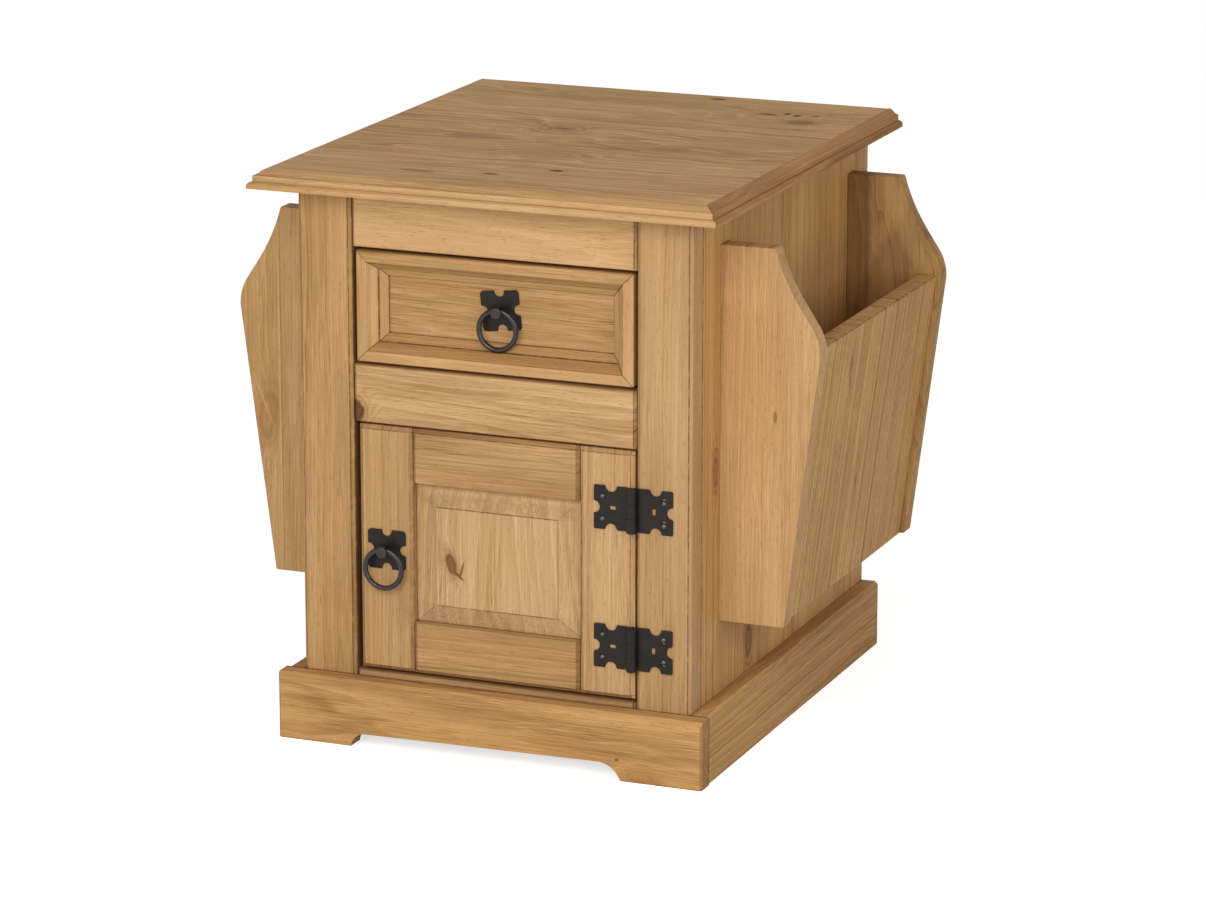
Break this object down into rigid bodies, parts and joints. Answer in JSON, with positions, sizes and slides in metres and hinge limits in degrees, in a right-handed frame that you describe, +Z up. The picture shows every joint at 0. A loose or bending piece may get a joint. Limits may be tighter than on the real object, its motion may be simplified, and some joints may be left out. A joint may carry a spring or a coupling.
{
  "type": "magazine side table with cupboard",
  "caption": "Pine side table with a drawer over a cupboard door, iron ring pulls and butterfly hinges, and an open magazine rack on each side.",
  "frame": {"origin": "centre of the footprint box on the floor", "axes": "+X to the right seen from the front, across both racks; +Y to the back; +Z up"},
  "size_m": [0.5456, 0.48, 0.5115],
  "materials": {
    "waxed_pine": "satin wax",
    "plywood": "plain",
    "black_iron": "satin black lacquer",
    "zinc_steel": "zinc plated",
    "catch_plastic": "matt"
  },
  "bodies": {
    "carcass": {"top_panel": "waxed_pine", "top_moulding_front": "waxed_pine", "top_moulding_left": "waxed_pine", "top_moulding_right": "waxed_pine", "front_post_left": "waxed_pine", "front_post_right": "waxed_pine", "back_post_left": "waxed_pine", "back_post_right": "waxed_pine", "side_panel_left": "waxed_pine", "side_panel_right": "waxed_pine", "top_rail": "waxed_pine", "middle_rail": "waxed_pine", "bottom_rail": "waxed_pine", "back_panel": "plywood", "base_panel": "waxed_pine", "cleats": "waxed_pine", "drawer_runners": "waxed_pine", "drawer_guides": "waxed_pine", "drawer_kickers": "waxed_pine", "plinth_front": "waxed_pine", "plinth_left": "waxed_pine", "plinth_right": "waxed_pine", "rack_left_front_end": "waxed_pine", "rack_left_back_end": "waxed_pine", "rack_left_outer_panel": "waxed_pine", "rack_left_floor": "waxed_pine", "rack_right_front_end": "waxed_pine", "rack_right_back_end": "waxed_pine", "rack_right_outer_panel": "waxed_pine", "rack_right_floor": "waxed_pine", "carcass_screws": "zinc_steel", "hinge_post_leaves": "black_iron", "hinge_pins": "black_iron", "hinge_post_screws": "black_iron", "catch_magnet": "catch_plastic"},
    "door": {"door_stile_pull": "waxed_pine", "door_stile_hinge": "waxed_pine", "door_rail_bottom": "waxed_pine", "door_rail_top": "waxed_pine", "door_panel": "waxed_pine", "hinge_door_leaves": "black_iron", "hinge_door_screws": "black_iron", "door_pull_plate": "black_iron", "door_pull_eye": "black_iron", "door_pull_nut": "zinc_steel", "catch_strike": "zinc_steel"},
    "door_ring": {"door_pull_ring": "black_iron"},
    "drawer": {"drawer_panel": "waxed_pine", "drawer_moulding_bottom": "waxed_pine", "drawer_moulding_top": "waxed_pine", "drawer_moulding_left": "waxed_pine", "drawer_moulding_right": "waxed_pine", "drawer_side_left": "waxed_pine", "drawer_side_right": "waxed_pine", "drawer_back": "waxed_pine", "drawer_bottom": "plywood", "drawer_pull_plate": "black_iron", "drawer_pull_eye": "black_iron", "drawer_pull_nut": "zinc_steel"},
    "drawer_ring": {"drawer_pull_ring": "black_iron"}
  },
  "joints": [
    {"name": "door_swing", "type": "hinge", "parent": "carcass", "child": "door", "pos_m": [0.13, -0.2126, 0.1785], "axis": [0, 0, 1], "range_deg": [0, 175]},
    {"name": "door_ring_swing", "type": "hinge", "parent": "door", "child": "door_ring", "pos_m": [-0.101, -0.2169, 0.17975], "axis": [-1, 0, 0], "range_deg": [0, 100]},
    {"name": "drawer_slide", "type": "slide", "parent": "carcass", "child": "drawer", "axis": [0, -1, 0], "range_m": [0, 0.25]},
    {"name": "drawer_ring_swing", "type": "hinge", "parent": "drawer", "child": "drawer_ring", "pos_m": [0, -0.1974, 0.39775], "axis": [-1, 0, 0], "range_deg": [0, 100]}
  ]
}
